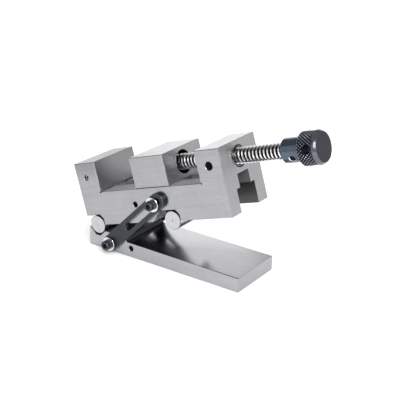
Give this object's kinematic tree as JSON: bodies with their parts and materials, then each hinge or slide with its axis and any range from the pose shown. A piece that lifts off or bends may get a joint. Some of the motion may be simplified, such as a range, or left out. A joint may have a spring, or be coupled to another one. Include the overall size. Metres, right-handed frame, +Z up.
{
  "type": "sine vise",
  "caption": "Precision screw vise on a sine base: a slotted vise body tilts on a roller in the base's vee, is raised at the second roller and locked by slotted side struts.",
  "frame": {"origin": "centre of the base's underside", "axes": "+X along the base from the hinge end to the knob end, +Y across it away from the side with the nut's lock screw, +Z up"},
  "size_m": [0.2715, 0.0874, 0.166],
  "materials": {
    "ground_steel": "surface ground",
    "roller_steel": "cylindrically ground and lapped",
    "blued_steel": "blue-black oxide, satin",
    "black_screw": "black oxide",
    "bright_steel": "bright zinc",
    "screw_steel": "turned thread",
    "nut_bronze": "turned bronze"
  },
  "bodies": {
    "base_plate": {"base": "ground_steel", "lower_washers": "bright_steel"},
    "tilting_body": {"vise_body": "ground_steel", "hinge_roller": "roller_steel", "sine_roller": "roller_steel", "roller_screws": "black_screw", "upper_washers": "bright_steel", "bronze_nut": "nut_bronze", "nut_lock_screw": "black_screw", "stop_hole_plug": "black_screw"},
    "jaw_carriage": {"moving_jaw": "ground_steel", "hold_down_plate": "ground_steel", "hold_down_screws": "black_screw", "retaining_pins": "bright_steel", "thrust_pad": "bright_steel"},
    "screw_assembly": {"lead_screw": "screw_steel", "knob": "blued_steel", "knob_set_screw": "black_screw"},
    "near_strut_arm": {"near_strut": "blued_steel"},
    "far_strut_arm": {"far_strut": "blued_steel"},
    "lower_screw_near": {"lower_clamp_screw_near": "black_screw"},
    "lower_screw_far": {"lower_clamp_screw_far": "black_screw"},
    "upper_screw_near": {"upper_clamp_screw_near": "black_screw"},
    "upper_screw_far": {"upper_clamp_screw_far": "black_screw"}
  },
  "joints": [
    {"name": "tilt", "type": "hinge", "parent": "base_plate", "child": "tilting_body", "pos_m": [-0.08095, 0, 0.0245], "axis": [0, -1, 0], "range_deg": [-17.4, 15.5]},
    {"name": "near_strut_swing", "type": "hinge", "parent": "base_plate", "child": "near_strut_arm", "pos_m": [-0.06245, -0.0338, 0.0095], "axis": [0, -1, 0], "range_deg": [-17.95, 16]},
    {"name": "far_strut_swing", "type": "hinge", "parent": "base_plate", "child": "far_strut_arm", "pos_m": [-0.06245, 0.0338, 0.0095], "axis": [0, -1, 0], "range_deg": [-17.95, 16]},
    {"name": "screw_turn", "type": "hinge", "parent": "jaw_carriage", "child": "screw_assembly", "pos_m": [0.00445, 0, 0.10429], "axis": [0.9539, 0, 0.3], "range_deg": [-4260, 3391]},
    {"name": "jaw_slide", "type": "slide", "parent": "tilting_body", "child": "jaw_carriage", "axis": [0.9539, 0, 0.3], "range_m": [-0.0472, 0.0375]},
    {"name": "lower_clamp_turn_near", "type": "hinge", "parent": "base_plate", "child": "lower_screw_near", "pos_m": [-0.06245, -0.0377, 0.0095], "axis": [0, -1, 0], "range_deg": [0, 180]},
    {"name": "lower_clamp_turn_far", "type": "hinge", "parent": "base_plate", "child": "lower_screw_far", "pos_m": [-0.06245, 0.0377, 0.0095], "axis": [0, 1, 0], "range_deg": [0, 180]},
    {"name": "upper_clamp_turn_near", "type": "hinge", "parent": "tilting_body", "child": "upper_screw_near", "pos_m": [-0.00685, -0.0377, 0.0672], "axis": [0, -1, 0], "range_deg": [0, 180]},
    {"name": "upper_clamp_turn_far", "type": "hinge", "parent": "tilting_body", "child": "upper_screw_far", "pos_m": [-0.00685, 0.0377, 0.0672], "axis": [0, 1, 0], "range_deg": [0, 180]}
  ],
  "couplings": [
    {"joint": "near_strut_swing", "follows": "tilt", "ratio": 1.03},
    {"joint": "far_strut_swing", "follows": "tilt", "ratio": 1.03},
    {"joint": "screw_turn", "follows": "jaw_slide", "rad_per_m": 1570.8}
  ]
}
